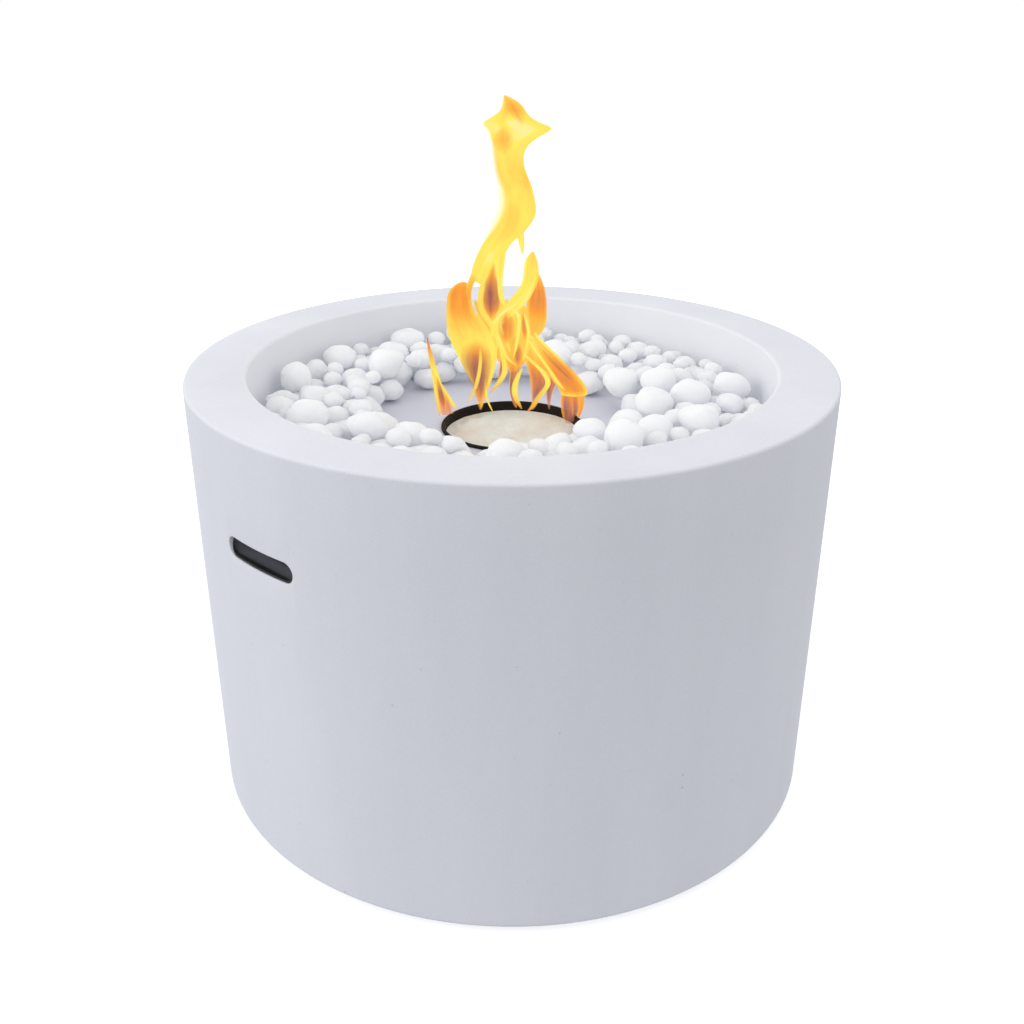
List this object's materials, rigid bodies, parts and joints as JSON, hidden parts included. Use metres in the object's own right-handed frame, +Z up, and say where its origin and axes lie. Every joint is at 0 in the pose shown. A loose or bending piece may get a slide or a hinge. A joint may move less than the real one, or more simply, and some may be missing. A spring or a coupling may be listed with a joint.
{
  "type": "tabletop bioethanol fireplace",
  "caption": "Round cast-concrete tabletop bioethanol fireplace: a drum with hand slots, a recessed pan of white pebbles, and a lift-out burner cup with a flame.",
  "frame": {"origin": "middle of the footprint, on the surface that the feet stand on", "axes": "+Z up, X through the two hand slots, the picture is taken from between -X and -Y"},
  "size_m": [0.45, 0.4498, 0.4877],
  "materials": {
    "concrete": null,
    "base_board": "grey fibre cement board",
    "brass": "plain turned brass",
    "zinc_steel": "zinc plated",
    "rubber": "matt black",
    "dark_plastic": "dark grey moulded plastic",
    "fibre_felt": "ceramic fibre felt",
    "pan_paint": "satin light grey heat resistant paint",
    "galvanised_steel": "galvanised sheet",
    "black_enamel": "black enamel, sooty at the rim",
    "ceramic_wool": "cream ceramic wool",
    "white_stone": "tumbled white marble pebbles, matt",
    "flame": null
  },
  "bodies": {
    "drum": {"drum_shell": "concrete", "base_panel": "base_board", "base_inserts": "brass", "base_screws": "zinc_steel", "foot_1": "rubber", "foot_2": "rubber", "foot_3": "rubber", "foot_4": "rubber", "foot_screws": "zinc_steel", "grip_liner_right": "dark_plastic", "grip_liner_left": "dark_plastic", "ledge_gasket": "fibre_felt"},
    "tray": {"burner_pan": "pan_paint", "drip_well": "galvanised_steel", "pebbles_lower_right_back": "white_stone", "pebbles_lower_left_back": "white_stone", "pebbles_lower_left_front": "white_stone", "pebbles_lower_right_front": "white_stone", "pebbles_upper_right_back": "white_stone", "pebbles_upper_left_back": "white_stone", "pebbles_upper_left_front": "white_stone", "pebbles_upper_right_front": "white_stone"},
    "burner": {"burner_cup": "black_enamel", "wool_core": "ceramic_wool", "flame": "flame"}
  },
  "joints": [
    {"name": "tray_lift", "type": "slide", "parent": "drum", "child": "tray", "axis": [0, 0, 1], "range_m": [0, 0.15]},
    {"name": "burner_lift", "type": "slide", "parent": "tray", "child": "burner", "axis": [0, 0, 1], "range_m": [0, 0.14]}
  ]
}
